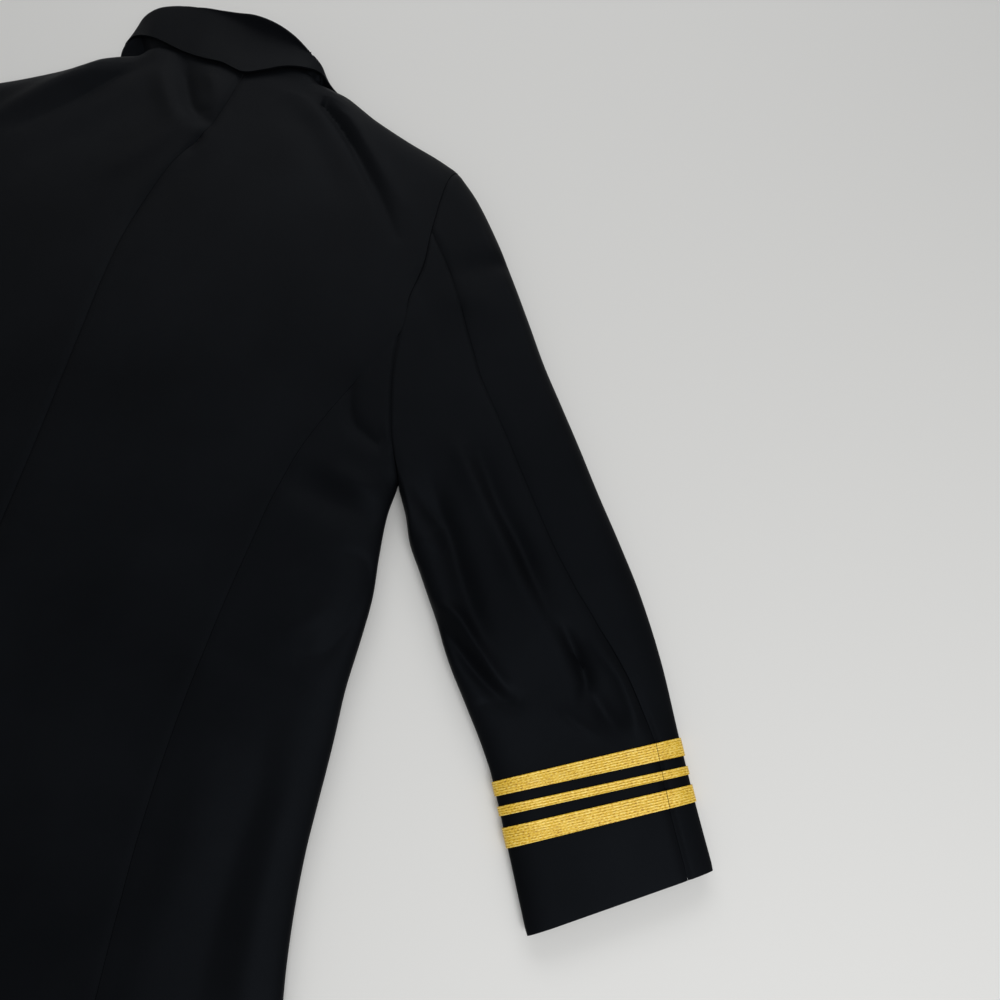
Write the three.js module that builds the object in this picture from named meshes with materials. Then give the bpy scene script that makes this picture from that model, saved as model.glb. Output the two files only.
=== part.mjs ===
// A double-breasted uniform blazer, lying face down with its back up.
// Millimetres, +Z up, +Y toward the collar, +X toward the wearer's right.
// Every piece of cloth is a thin wall: its outer face is a grid of points, worked out from the
// tables below, and its inner face is the same grid moved in by the cloth's thickness.

import * as THREE from 'three';

// ---------------------------------------------------------------- driving sizes

const WALL = 2.0;                 // cloth with its facing
const SEAM_GAP = 0.32;            // between two pieces at a seam
const ARMHOLE_EASE = 0.65;        // more of a gap where a sleeve is set in, for the turn of its cloth
const LAYER = 2.6;                // one layer of cloth to the next where they lie on each other
const BUTTON_LIFT = 5.8;          // how far the buttons raise the fronts
const LIFT_FULL = 160;            // out to here from the middle the buttons hold the fronts up
const LIFT_FALL = 80;             // and over this width past it they sink to the surface
const SIDE_ROLL = 35;             // how far in from the side edge the back reaches its full height
const SHOULDER_ROLL = 30;         // the same along the shoulder seam
const SLEEVE_ROLL = 24;           // the same along both edges of a sleeve
const FRONT_EDGE = 90;            // each front's edge past the middle
const BREAK_Y = -450;             // where the lapels' roll lines meet the front edges
const LAYERS_FULL = 185;          // out to here the fronts lie on their lapels
const LAYERS_GONE = 245;          // and from here on they lie on the surface
const GARMENT_MIDDLE_Y = -402.4;   // halfway from the collar's fold to the hem

const NECK = { x: 104, y: 8 };    // where the shoulder seam meets the collar

// Height of the back above the surface, from the collar to the hem.
const BACK_HEIGHT = [
  { y: 20, h: 38 }, { y: 0, h: 37 }, { y: -60, h: 33 }, { y: -120, h: 31 }, { y: -250, h: 29 },
  { y: -426, h: 28 }, { y: -600, h: 27 }, { y: -700, h: 26 }, { y: -870, h: 22 },
];

// The shoulder seam, from the neck out.
const SHOULDER = [
  { x: 104, y: 8 }, { x: 122, y: 2 }, { x: 140, y: -5 }, { x: 159, y: -17 }, { x: 178, y: -29 },
  { x: 215, y: -48 }, { x: 250, y: -64 }, { x: 276, y: -78 },
];

// The armhole seam, from the shoulder down to the underarm.
const ARMHOLE = [
  { x: 276, y: -78 }, { x: 272, y: -90 }, { x: 269, y: -115 }, { x: 269, y: -163 },
  { x: 271, y: -203 }, { x: 267, y: -242 }, { x: 268, y: -284 }, { x: 272, y: -322 },
  { x: 280, y: -358 }, { x: 288, y: -386 }, { x: 296, y: -406 }, { x: 301, y: -418 },
  { x: 303, y: -426 },
];
const HIND_SEAM = 3;              // armhole point where the sleeve's hind-arm seam starts
const BACK_SEAM = 6;              // where the side-back seam starts
const FRONT_SEAM = 8;             // where the front side seam and the fore-arm seam start
const UNDERARM = ARMHOLE.length - 1;

// Rows below the armhole: the side-back seam, the side edge and the front side seam.
const SIDE_ROWS = [
  { back: { x: 240, y: -345 }, edge: { x: 301, y: -455 }, front: { x: 270, y: -400 } },
  { back: { x: 216, y: -408 }, edge: { x: 304, y: -491 }, front: { x: 263, y: -440 } },
  { back: { x: 206, y: -455 }, edge: { x: 308, y: -525 }, front: { x: 259, y: -480 } },
  { back: { x: 201, y: -500 }, edge: { x: 308, y: -560 }, front: { x: 257, y: -520 } },
  { back: { x: 197, y: -545 }, edge: { x: 307, y: -600 }, front: { x: 256, y: -565 } },
  { back: { x: 194, y: -590 }, edge: { x: 309, y: -640 }, front: { x: 256, y: -610 } },
  { back: { x: 192, y: -640 }, edge: { x: 310, y: -680 }, front: { x: 257, y: -655 } },
  { back: { x: 192, y: -690 }, edge: { x: 311, y: -715 }, front: { x: 258, y: -700 } },
  { back: { x: 194, y: -740 }, edge: { x: 314, y: -750 }, front: { x: 260, y: -740 } },
  { back: { x: 198, y: -785 }, edge: { x: 319, y: -785 }, front: { x: 263, y: -780 } },
  { back: { x: 202, y: -825 }, edge: { x: 326, y: -820 }, front: { x: 266, y: -820 } },
  { back: { x: 206, y: -862 }, edge: { x: 334, y: -856 }, front: { x: 270, y: -860 } },
];

// The centre-back seam, which sways as the cloth lies, a point for each row of the back.
const CENTRE_BACK = [
  { x: 26, y: 13 }, { x: 22, y: -22 }, { x: 17, y: -56 }, { x: 5, y: -96 }, { x: -10, y: -132 },
  { x: -19, y: -172 }, { x: -25, y: -222 }, { x: -24, y: -280 }, { x: -20, y: -340 },
  { x: -16, y: -400 }, { x: -12, y: -460 }, { x: -9, y: -520 }, { x: -6, y: -575 },
  { x: -4, y: -630 }, { x: -2, y: -685 }, { x: -1, y: -735 }, { x: 0, y: -785 },
  { x: 0, y: -828 }, { x: 0, y: -866 },
];
const NECK_COLUMNS = [{ share: 1 / 3, y: 14 }, { share: 2 / 3, y: 14 }];

// A front's inner edge above the break, a point for each row down the armhole.
const ROLL_LINE_Y = [8, -20, -60, -110, -160, -210, -260, -310, -358];

// A lapel, a row from its roll line to its free edge.
const LAPEL_TOP = [
  { x: 66, y: -88 }, { x: 93, y: -100 }, { x: 120, y: -112 }, { x: 140, y: -92 }, { x: 162, y: -72 },
];
const LAPEL_ROWS = [
  { y: -130, edge: 158 }, { y: -180, edge: 140 }, { y: -240, edge: 112 }, { y: -300, edge: 76 },
  { y: -358, edge: 36 }, { y: -400, edge: -12 }, { y: -440, edge: -66 }, { y: -448, edge: -78 },
];

// The sleeve, a ring a row: its inner and outer edge, its height, where the hind-arm seam lies, and
// how far the lace under the cuff lifts it.
const SLEEVE = [
  { inner: { x: 316, y: -450 }, outer: { x: 304, y: -110 }, h: 27, seam: 0.66 },
  { inner: { x: 326, y: -474 }, outer: { x: 336, y: -158 }, h: 26, seam: 0.635 },
  { inner: { x: 340, y: -496 }, outer: { x: 359, y: -198 }, h: 25, seam: 0.62 },
  { inner: { x: 352, y: -515 }, outer: { x: 382, y: -240 }, h: 25, seam: 0.635 },
  { inner: { x: 364, y: -534 }, outer: { x: 404, y: -281 }, h: 25, seam: 0.65 },
  { inner: { x: 374, y: -552 }, outer: { x: 427, y: -319 }, h: 25, seam: 0.655 },
  { inner: { x: 384, y: -568 }, outer: { x: 450, y: -357 }, h: 25, seam: 0.66 },
  { inner: { x: 394, y: -582 }, outer: { x: 473, y: -396 }, h: 24, seam: 0.67 },
  { inner: { x: 404, y: -596 }, outer: { x: 497, y: -435 }, h: 23, seam: 0.69 },
  { inner: { x: 416, y: -613 }, outer: { x: 521, y: -476 }, h: 21, seam: 0.73 },
  { inner: { x: 425, y: -627 }, outer: { x: 545, y: -526 }, h: 19, seam: 0.80, lift: 0.7 },
  { inner: { x: 433, y: -641 }, outer: { x: 566, y: -580 }, h: 17, seam: 0.86, lift: 1.25 },
  { inner: { x: 454, y: -685 }, outer: { x: 584, y: -625 }, h: 16, seam: 0.85, lift: 1.25 },
  { inner: { x: 478, y: -736 }, outer: { x: 602, y: -667 }, h: 15, seam: 0.85, lift: 1.25 },
];
const HEAD_RINGS = 4;             // rings over which the sleeve takes up the armhole's shape
const BRAID_RING = 12;            // the braid lies between this ring and the next
const EDGE_COLUMNS = [1, 0.975, 0.92];                            // shares of the width, outer edge
const UNDER_COLUMNS = [1, 0.82, 0.65, 0.5, 0.36, 0.24, 0.15, 0.075, 0.025, 0];  // shares of the seam

// Gold lace round the cuff: where each band starts and ends on the way between the two rings.
const BRAID = [
  { name: 'upper', from: 0.02, to: 0.285 },
  { name: 'middle', from: 0.43, to: 0.565 },
  { name: 'lower', from: 0.71, to: 0.975 },
];
const BRAID_THICK = 0.9;
const BRAID_CLEAR = 0.35;

// The collar, a section a row from the middle of the back round to the front: the fold, the free
// edge of the leaf, the neck seam of the stand, and how far the leaf sags behind its fold. The left
// half of the collar is pushed up and out a little.
const COLLAR = {
  right: [
    { fold: [0, 60, 52], leaf: [0, 0], seam: [0, 15], sag: 4 },
    { fold: [22, 58, 54], leaf: [25, -8], seam: [21, 15.5], sag: 6.5 },
    { fold: [44, 54, 52], leaf: [46, -1], seam: [42, 15.5], sag: 6.5 },
    { fold: [64, 47.5, 47], leaf: [66, 8], seam: [61, 15.5], sag: 5 },
    { fold: [80, 39, 41], leaf: [86, 12], seam: [77, 15.5], sag: 3 },
  ],
  left: [
    { fold: [0, 60, 52], leaf: [0, 0], seam: [0, 15], sag: 4 },
    { fold: [24, 61.5, 51], leaf: [23, 2], seam: [21, 15.5], sag: 2 },
    { fold: [48, 61.5, 50], leaf: [47, 8], seam: [42, 15.5], sag: 1 },
    { fold: [72, 60, 48], leaf: [70, 15], seam: [61, 15.5], sag: 0 },
    { fold: [94, 56.5, 44], leaf: [92, 22], seam: [77, 15.5], sag: 0 },
  ],
};
const COLLAR_SIDE = {
  right: [
    { fold: [93, 31, 33], leaf: [101, 17, 31], seam: [89, 17, 27] },
    { fold: [99, 25, 25], leaf: [112, 11, 21], seam: [94, 16, 20] },
  ],
  left: [
    { fold: [110, 48, 36], leaf: [117, 29, 30], seam: [89, 16.5, 28] },
    { fold: [112, 36, 26], leaf: [130, 19, 21], seam: [95, 16, 20] },
  ],
};
const COLLAR_FRONT = [
  { y: 10, fold: 17, leaf: [132, -3], drop: 0.55 },
  { y: -12, fold: 11, leaf: [136, -26], drop: 0 },
  { y: -36, fold: 9, leaf: [132, -56], drop: 0 },
  { y: -60, fold: 8, leaf: [124, -84], drop: 0 },
  { y: -80, fold: 8, leaf: [117, -103], drop: 0 },
];

// Shank buttons on the left front, under it as it lies.
const BUTTON = { radius: 11.5, dome: 4.6, rim: 1.2, shankRadius: 3.5, height: BUTTON_LIFT + LAYER - 0.3 };
const BUTTON_COLUMNS = [-60, 60];
const BUTTON_ROWS = [-475, -570, -665];

// The largest folds of the back and the sleeves: depth is down where negative.
const FOLDS = {
  right: [
    { name: 'shoulder trough', path: [[90, -8], [130, -30], [165, -78], [205, -135], [240, -178]], depth: -7, width: 17 },
    { name: 'shoulder rib', path: [[150, -22], [185, -60], [225, -112], [250, -150]], depth: 3.5, width: 17 },
    { name: 'skirt valley', path: [[269, -661], [267, -710], [265, -756], [275, -814], [282, -866]], depth: -7, width: 17 },
    { name: 'sleeve ridge', path: [[304, -313], [345, -366], [402, -449], [449, -516], [477, -565]], depth: 5, width: 17 },
    { name: 'sleeve trough', path: [[330, -310], [372, -380], [430, -462], [474, -525]], depth: -4, width: 17 },
    { name: 'forearm trough', path: [[349, -458], [395, -530], [434, -581]], depth: -6, width: 17 },
  ],
  left: [
    { name: 'shoulder trough', path: [[84, -14], [120, -44], [160, -100], [214, -150]], depth: -6, width: 18 },
    { name: 'skirt valley', path: [[262, -600], [258, -680], [268, -750], [276, -830]], depth: -6, width: 18 },
    { name: 'sleeve ridge', path: [[310, -290], [352, -372], [398, -440], [460, -540]], depth: 5, width: 17 },
    { name: 'forearm trough', path: [[350, -440], [402, -538], [440, -570]], depth: -6, width: 18 },
  ],
};

// ---------------------------------------------------------------- helpers

const lerp = (a, b, t) => a + (b - a) * t;
const mixPoint = (a, b, t) => ({ x: lerp(a.x, b.x, t), y: lerp(a.y, b.y, t) });
const clamp01 = (t) => Math.min(1, Math.max(0, t));
const smooth = (t) => { const c = clamp01(t); return c * c * (3 - 2 * c); };
const roll = (t) => Math.sqrt(1 - (1 - clamp01(t)) ** 2);

/** Height of the back at y, read from its table. */
function backHeight(y) {
  const t = BACK_HEIGHT;
  if (y >= t[0].y) return t[0].h;
  const i = t.findIndex((row) => row.y <= y);
  if (i < 0) return t[t.length - 1].h;
  return lerp(t[i - 1].h, t[i].h, (t[i - 1].y - y) / (t[i - 1].y - t[i].y));
}

/** Distance from (x, y) to a chain of points, and how far along it the nearest one lies (0 to 1). */
function toPath(x, y, path) {
  let best = { distance: Infinity, along: 0 };
  for (let i = 0; i + 1 < path.length; i++) {
    const [ax, ay] = path[i];
    const [bx, by] = path[i + 1];
    const length2 = (bx - ax) ** 2 + (by - ay) ** 2;
    const t = clamp01(((x - ax) * (bx - ax) + (y - ay) * (by - ay)) / length2);
    const distance = Math.hypot(x - lerp(ax, bx, t), y - lerp(ay, by, t));
    if (distance < best.distance) best = { distance, along: (i + t) / (path.length - 1) };
  }
  return best;
}

const SHOULDER_PATH = SHOULDER.map((p) => [p.x, p.y]);
const SIDE_PATH = [ARMHOLE[UNDERARM], ...SIDE_ROWS.map((row) => row.edge)].map((p) => [p.x, p.y]);

/** 0 at the shoulder seam and the side edge, 1 where the body has its full height. x is outward. */
function bodyRoll(x, y) {
  const shoulder = roll(toPath(x, y, SHOULDER_PATH).distance / SHOULDER_ROLL);
  const side = roll(toPath(x, y, SIDE_PATH).distance / SIDE_ROLL);
  return shoulder * side;
}

/** Height added by the folds of one half. */
function foldHeight(x, y, folds) {
  let sum = 0;
  for (const fold of folds) {
    const near = toPath(x, y, fold.path);
    const taper = Math.sin(Math.PI * lerp(0.12, 0.88, near.along));
    sum += fold.depth * taper * Math.exp(-((near.distance / fold.width) ** 2));
  }
  return sum;
}

/** Outer face of the back and the upper side panel. */
function bodyTop(x, y, folds) {
  const h = backHeight(y);
  const r = bodyRoll(x, y);
  return lerp(h / 2, h, r) + foldHeight(x, y, folds) * r;
}

/** 1 over the buttons, falling to 0 past them. */
function buttonLift(x, y) {
  const across = 1 - smooth((Math.abs(x) - LIFT_FULL) / LIFT_FALL);
  const down = smooth((-y - 358) / 82) * (1 - smooth((-y - 700) / 80));
  return BUTTON_LIFT * across * down;
}

/** How many layers lie under a front: the left one has its lapel, the right one the left front too. */
function layersUnder(y, side) {
  return side < 0 ? 1 : 3 - smooth((-y - 480) / 85);
}

/** Outer face of a front, which looks down. */
function frontBottom(x, y, side) {
  const layers = layersUnder(y, side) * (1 - smooth((Math.abs(x) - LAYERS_FULL) / (LAYERS_GONE - LAYERS_FULL)));
  const base = LAYER * layers + buttonLift(x, y);
  return lerp(backHeight(y) / 2, base, bodyRoll(Math.abs(x), y));
}

/** x of a roll line at y, on the wearer's right; the left one mirrors it. */
function rollLine(y) {
  return lerp(NECK.x, -FRONT_EDGE, (NECK.y - y) / (NECK.y - BREAK_Y));
}

const key = (p) => `${p.x.toFixed(3)},${p.y.toFixed(3)},${p.z.toFixed(3)}`;

// ---------------------------------------------------------------- grids of the outer faces

/** A half of the back: rows from the shoulder to the hem, columns from the middle out. */
function backGrid(side, folds) {
  const neck = CENTRE_BACK[0];
  const middle = CENTRE_BACK.map((p) => ({ x: p.x * side, y: p.y }));
  const outer = [...ARMHOLE.slice(0, BACK_SEAM + 1), ...SIDE_ROWS.map((row) => row.back)];
  const necks = NECK_COLUMNS.map((c) => ({ x: lerp(neck.x * side, NECK.x, c.share), y: c.y }));
  const top = [middle[0], ...necks, ...SHOULDER];
  const share = top.map((p) => (p.x - top[0].x) / (ARMHOLE[0].x - top[0].x));
  return outer.map((end, k) => {
    const bend = k < BACK_SEAM ? (1 - k / BACK_SEAM) ** 2 : 0;
    return share.map((s, i) => {
      const straight = mixPoint(middle[k], end, s);
      const chord = mixPoint(top[0], ARMHOLE[0], s);
      const x = straight.x + bend * (top[i].x - chord.x);
      const y = straight.y + bend * (top[i].y - chord.y);
      return new THREE.Vector3(x * side, y, bodyTop(x, y, folds));
    });
  });
}

/** A side panel: rows from the armhole to the hem, columns from the back seam round the edge. */
function sideGrid(side, folds) {
  const upper = ARMHOLE.slice(BACK_SEAM);
  const lower = ARMHOLE.slice(FRONT_SEAM, UNDERARM).reverse();
  const rows = [null, ...SIDE_ROWS];
  return rows.map((row, k) => {
    const fade = (1 - k / SIDE_ROWS.length) ** 2;
    const strip = (from, to, seam, reach, points) => points.map((p, i) => {
      const share = UNDER_COLUMNS.slice(UNDER_COLUMNS.length - reach)[i] / UNDER_COLUMNS[UNDER_COLUMNS.length - reach];
      if (row === null) return p;
      const flat = mixPoint(row.edge, seam(row), share);
      const chord = mixPoint(to, from, share);
      const drift = fade * (k === 0 ? 1 : 0.35);
      return { x: flat.x + drift * (p.x - chord.x) * (share > 0 && share < 1 ? 1 : 0),
        y: flat.y + drift * (p.y - chord.y) * (share > 0 && share < 1 ? 1 : 0) };
    });
    const topRow = strip(upper[0], ARMHOLE[UNDERARM], (r) => r.back, upper.length, upper);
    const bottomRow = strip(ARMHOLE[FRONT_SEAM], ARMHOLE[UNDERARM], (r) => r.front,
      UNDERARM - FRONT_SEAM + 1, [...lower].reverse()).reverse();
    return [
      ...topRow.map((p) => new THREE.Vector3(p.x * side, p.y, bodyTop(p.x, p.y, folds))),
      ...bottomRow.map((p) => new THREE.Vector3(p.x * side, p.y, frontBottom(p.x * side, p.y, side))),
    ];
  });
}

/** A front: rows from the shoulder to the hem, columns from its inner edge out. */
function frontGrid(side) {
  const outer = [...ARMHOLE.slice(0, FRONT_SEAM + 1), ...SIDE_ROWS.map((row) => row.front)];
  const inner = outer.map((p, k) => {
    const y = k < ROLL_LINE_Y.length ? ROLL_LINE_Y[k] : p.y;
    return { x: Math.max(rollLine(y), -FRONT_EDGE), y };
  });
  const share = SHOULDER.map((p) => (p.x - NECK.x) / (ARMHOLE[0].x - NECK.x));
  return outer.map((end, k) => {
    const bend = k < FRONT_SEAM ? (1 - k / FRONT_SEAM) ** 2 : 0;
    return share.map((s, i) => {
      const straight = mixPoint(inner[k], end, s);
      const chord = mixPoint(SHOULDER[0], ARMHOLE[0], s);
      const x = straight.x + bend * (SHOULDER[i].x - chord.x);
      const y = straight.y + bend * (SHOULDER[i].y - chord.y);
      const z = k === 0 ? backHeight(y) / 2 : frontBottom(x * side, y, side);
      return new THREE.Vector3(x * side, y, z);
    });
  });
}

/** A lapel, turned out under its front: its outer face looks down. */
function lapelGrid(side) {
  const base = side < 0 ? 0 : 2 * LAYER;
  const place = (x, y) => new THREE.Vector3(x * side, y, base + buttonLift(x, y));
  const top = LAPEL_TOP.map((p) => place(p.x, p.y));
  const rows = LAPEL_ROWS.map(({ y, edge }) => top.map((_, i) => {
    return place(lerp(rollLine(y), edge, i / (top.length - 1)), y);
  }));
  return [top, ...rows];
}

/** Shares of the sleeve's width for its columns, from the outer edge to the inner one. */
function sleeveShares(seam) {
  return [...EDGE_COLUMNS, ...UNDER_COLUMNS.map((share) => share * seam)];
}

/** The whole sleeve: rings from the armhole to the cuff. Columns run from the outer edge over the
 *  top to the inner edge, and back underneath. */
function sleeveRings(side, folds) {
  const upper = ARMHOLE.map((p) => ({ x: p.x, y: p.y, z: bodyTop(p.x, p.y, folds) }));
  const lower = ARMHOLE.map((p) => ({ x: p.x, y: p.y, z: frontBottom(p.x * side, p.y, side) }));
  const start = sleeveShares(SLEEVE[0].seam);
  const ring = (points) => points.map((p) => new THREE.Vector3(p.x * side, p.y, p.z));
  const rings = [ring([...upper, ...lower.slice(1, -1).reverse()])];
  SLEEVE.forEach((row, k) => {
    const left = clamp01(1 - (k + 1) / HEAD_RINGS) ** 2;
    const width = Math.hypot(row.outer.x - row.inner.x, row.outer.y - row.inner.y);
    const face = (from, sign) => sleeveShares(row.seam).map((s, i) => {
      const flat = mixPoint(row.inner, row.outer, s);
      const chord = mixPoint(ARMHOLE[UNDERARM], ARMHOLE[0], start[i]);
      const edge = i === 0 || i === UNDERARM ? 0 : left;
      const x = flat.x + edge * (ARMHOLE[i].x - chord.x);
      const y = flat.y + edge * (ARMHOLE[i].y - chord.y);
      const r = roll((Math.min(s, 1 - s) * width) / SLEEVE_ROLL);
      const fold = sign > 0 ? foldHeight(x, y, folds) * r * (1 - left) : 0;
      const own = (row.lift ?? 0) + row.h / 2 + (sign * row.h * r) / 2 + fold;
      return { x, y, z: lerp(own, from[i].z, left) };
    });
    rings.push(ring([...face(upper, 1), ...face(lower, -1).slice(1, -1).reverse()]));
  });
  return rings;
}

const TOP_COLUMNS = ARMHOLE.length;
const RING_COLUMNS = 2 * ARMHOLE.length - 2;
const FORE_SEAM = RING_COLUMNS - FRONT_SEAM;       // column of the fore-arm seam, underneath

/** The columns of a ring from one index to another, going round past the end. */
function arc(rings, from, to) {
  const count = ((to - from + RING_COLUMNS) % RING_COLUMNS) + 1;
  return rings.map((ring) => Array.from({ length: count }, (_, i) => ring[(from + i) % RING_COLUMNS]));
}

// ---------------------------------------------------------------- walls

/** Sum of the facet normals at every point, over all the pieces that share it. */
function gatherNormals(grids, sums) {
  for (const grid of grids) {
    for (let r = 0; r + 1 < grid.length; r++) {
      for (let c = 0; c + 1 < grid[r].length; c++) {
        const [a, b, d, e] = [grid[r][c], grid[r][c + 1], grid[r + 1][c + 1], grid[r + 1][c]];
        for (const [p, q, s] of [[a, b, d], [a, d, e]]) {
          const n = new THREE.Vector3().crossVectors(q.clone().sub(p), s.clone().sub(p));
          for (const point of [p, q, s]) {
            const k = key(point);
            if (!sums.has(k)) sums.set(k, new THREE.Vector3());
            sums.get(k).add(n);
          }
        }
      }
    }
  }
}

/** Closed wall between two grids of the same size. */
function closedWall(outer, inner) {
  const rows = outer.length;
  const columns = outer[0].length;
  const positions = [];
  for (const grid of [outer, inner]) for (const row of grid) for (const p of row) positions.push(p.x, p.y, p.z);
  const at = (face, r, c) => face * rows * columns + r * columns + c;
  const index = [];
  const quad = (a, b, c, d) => index.push(a, b, c, a, c, d);
  for (let r = 0; r + 1 < rows; r++) {
    for (let c = 0; c + 1 < columns; c++) {
      quad(at(0, r, c), at(0, r, c + 1), at(0, r + 1, c + 1), at(0, r + 1, c));
      quad(at(1, r, c), at(1, r + 1, c), at(1, r + 1, c + 1), at(1, r, c + 1));
    }
    quad(at(0, r, 0), at(0, r + 1, 0), at(1, r + 1, 0), at(1, r, 0));
    quad(at(0, r, columns - 1), at(1, r, columns - 1), at(1, r + 1, columns - 1), at(0, r + 1, columns - 1));
  }
  for (let c = 0; c + 1 < columns; c++) {
    quad(at(0, 0, c), at(1, 0, c), at(1, 0, c + 1), at(0, 0, c + 1));
    quad(at(0, rows - 1, c), at(0, rows - 1, c + 1), at(1, rows - 1, c + 1), at(1, rows - 1, c));
  }
  const geometry = new THREE.BufferGeometry();
  geometry.setAttribute('position', new THREE.Float32BufferAttribute(positions, 3));
  geometry.setIndex(index);
  return faceOut(geometry);
}

/** Turns a closed geometry's faces outward. */
function faceOut(geometry) {
  const p = geometry.getAttribute('position');
  const index = geometry.getIndex();
  const [a, b, c] = [new THREE.Vector3(), new THREE.Vector3(), new THREE.Vector3()];
  let volume = 0;
  for (let i = 0; i < index.count; i += 3) {
    a.fromBufferAttribute(p, index.getX(i));
    b.fromBufferAttribute(p, index.getX(i + 1));
    c.fromBufferAttribute(p, index.getX(i + 2));
    volume += a.dot(b.cross(c));
  }
  if (volume < 0) {
    for (let i = 0; i < index.count; i += 3) {
      const second = index.getX(i + 1);
      index.setX(i + 1, index.getX(i + 2));
      index.setX(i + 2, second);
    }
  }
  geometry.computeVertexNormals();
  return geometry;
}

/** Moves a grid's four edges in by half a seam gap, and its first row by ease more. */
function insetEdges(grid, ease) {
  const copy = grid.map((row) => row.map((p) => p.clone()));
  const pull = (r, c, r2, c2) => {
    const reach = SEAM_GAP / 2 + (r === 0 && r2 === 1 ? ease : 0);
    copy[r][c].add(grid[r2][c2].clone().sub(grid[r][c]).normalize().multiplyScalar(reach));
  };
  const last = grid.length - 1;
  const end = grid[0].length - 1;
  grid[0].forEach((_, c) => { pull(0, c, 1, c); pull(last, c, last - 1, c); });
  grid.forEach((_, r) => { pull(r, 0, r, 1); pull(r, end, r, end - 1); });
  return copy;
}

/** A wall of cloth behind a grid, on the side away from the shared normals. */
function clothWall(grid, sums, outward, ease) {
  const inner = grid.map((row) => row.map((p) => {
    const n = sums.get(key(p)).clone().normalize().multiplyScalar(-outward * WALL);
    return p.clone().add(n);
  }));
  return closedWall(insetEdges(grid, ease), insetEdges(inner, ease));
}

// ---------------------------------------------------------------- collar, braid and buttons

/** Middle lines of the collar's sections on one side, from the middle of the back to the front. */
function collarSections(side, folds) {
  const layer = side < 0 ? 0 : 2 * LAYER;
  const v = (x, y, z) => new THREE.Vector3(x, y, z);
  const half = side < 0 ? 'left' : 'right';
  const backRows = COLLAR[half].map(({ fold, leaf, seam, sag }) => ({
    sag,
    fold: v(...fold),
    leaf: v(leaf[0], leaf[1], bodyTop(leaf[0], leaf[1], folds) + 3),
    seam: v(seam[0], seam[1], bodyTop(seam[0], seam[1], []) - 4.5),
    out: v(0, 0.25, 1),
  }));
  const sideRows = COLLAR_SIDE[half].map(({ fold, leaf, seam }, i) => ({
    sag: 0, fold: v(...fold), leaf: v(...leaf), seam: v(...seam), out: v(0.8, 0.3, 0.5 - 0.5 * i),
  }));
  const frontRows = COLLAR_FRONT.map(({ y, fold, leaf, drop }) => {
    const front = frontBottom(rollLine(y), y, side);
    const leafHeight = lerp(layer + 1.15, backHeight(leaf[1]) / 2, drop);
    return {
      sag: 0,
      fold: v(rollLine(y) - 7, y, lerp(layer + 2.4, fold, drop)),
      leaf: v(leaf[0], leaf[1], leafHeight),
      seam: v(rollLine(y) - 2.4, y, Math.max(front + 1.2, layer + 4)),
      out: v(0.35, 0.1, -1),
    };
  });
  return [...backRows, ...sideRows, ...frontRows].map(({ fold, leaf, seam, out, sag }) => {
    out.normalize().multiplyScalar(1.35);
    const down = v(0, 0, -sag);
    const stand = seam.clone().lerp(fold, 0.55).addScaledVector(down, 1.5);
    const before = seam.clone().lerp(fold, 0.9).sub(out).addScaledVector(down, 1.2);
    const after = leaf.clone().lerp(fold, 0.93 - 0.014 * sag).add(out).addScaledVector(down, 1.15);
    const middle = leaf.clone().lerp(fold, 0.5).addScaledVector(out, 0.6).add(down);
    return [seam, stand, before, fold, after, middle, leaf].map((p) => v(p.x * side, p.y, p.z));
  });
}

/** The collar in one piece: its sections from the left front round the neck to the right front. */
function collarWall() {
  const left = collarSections(-1, FOLDS.left).reverse();
  const right = collarSections(1, FOLDS.right);
  const grid = [...left.slice(0, -1), ...right];
  const sums = new Map();
  gatherNormals([grid], sums);
  const shifted = (distance) => grid.map((row) => row.map((p) => {
    return p.clone().addScaledVector(sums.get(key(p)).clone().normalize(), distance);
  }));
  return closedWall(shifted(WALL / 2), shifted(-WALL / 2));
}

/** A band of lace round the cuff, its two ends meeting at the hind-arm seam. */
function braidWall(rings, sums, outward, { from, to }) {
  const [above, below] = [rings[BRAID_RING], rings[BRAID_RING + 1]];
  const order = Array.from({ length: RING_COLUMNS + 1 }, (_, i) => (HIND_SEAM + i) % RING_COLUMNS);
  const line = (share, clear) => order.map((c) => {
    const n = sums.get(key(above[c])).clone().normalize();
    n.lerp(sums.get(key(below[c])).clone().normalize(), share).normalize();
    return above[c].clone().lerp(below[c], share).addScaledVector(n, outward * clear);
  });
  const face = (clear) => {
    const grid = [line(from, clear), line(to, clear)];
    for (const row of grid) {
      const last = row.length - 1;
      row[0].lerp(row[1], SEAM_GAP / 2 / row[0].distanceTo(row[1]));
      row[last].lerp(row[last - 1], SEAM_GAP / 2 / row[last].distanceTo(row[last - 1]));
    }
    return grid;
  };
  return closedWall(face(BRAID_CLEAR + BRAID_THICK), face(BRAID_CLEAR));
}

/** A domed button with its shank, dome down. */
function buttonGeometry() {
  const { radius, dome, rim, shankRadius, height } = BUTTON;
  const profile = [
    [0, 0], [radius * 0.45, dome * 0.12], [radius * 0.8, dome * 0.5], [radius, dome],
    [radius, dome + rim], [shankRadius, dome + rim], [shankRadius, height], [0, height],
  ].map(([x, y]) => new THREE.Vector2(x, y));
  return new THREE.LatheGeometry(profile, 14).rotateX(Math.PI / 2);
}

// ---------------------------------------------------------------- the garment

const wool = new THREE.MeshStandardMaterial({ color: 0x101218, roughness: 0.95, metalness: 0 });
const lace = new THREE.MeshStandardMaterial({ color: 0xd9a520, roughness: 0.45, metalness: 0.5 });
const gilt = new THREE.MeshStandardMaterial({ color: 0xc89b3c, roughness: 0.3, metalness: 0.9 });

const garment = new THREE.Group();
const layout = new THREE.Group();
layout.position.set(0, -GARMENT_MIDDLE_Y, 0);
garment.add(layout);

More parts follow.
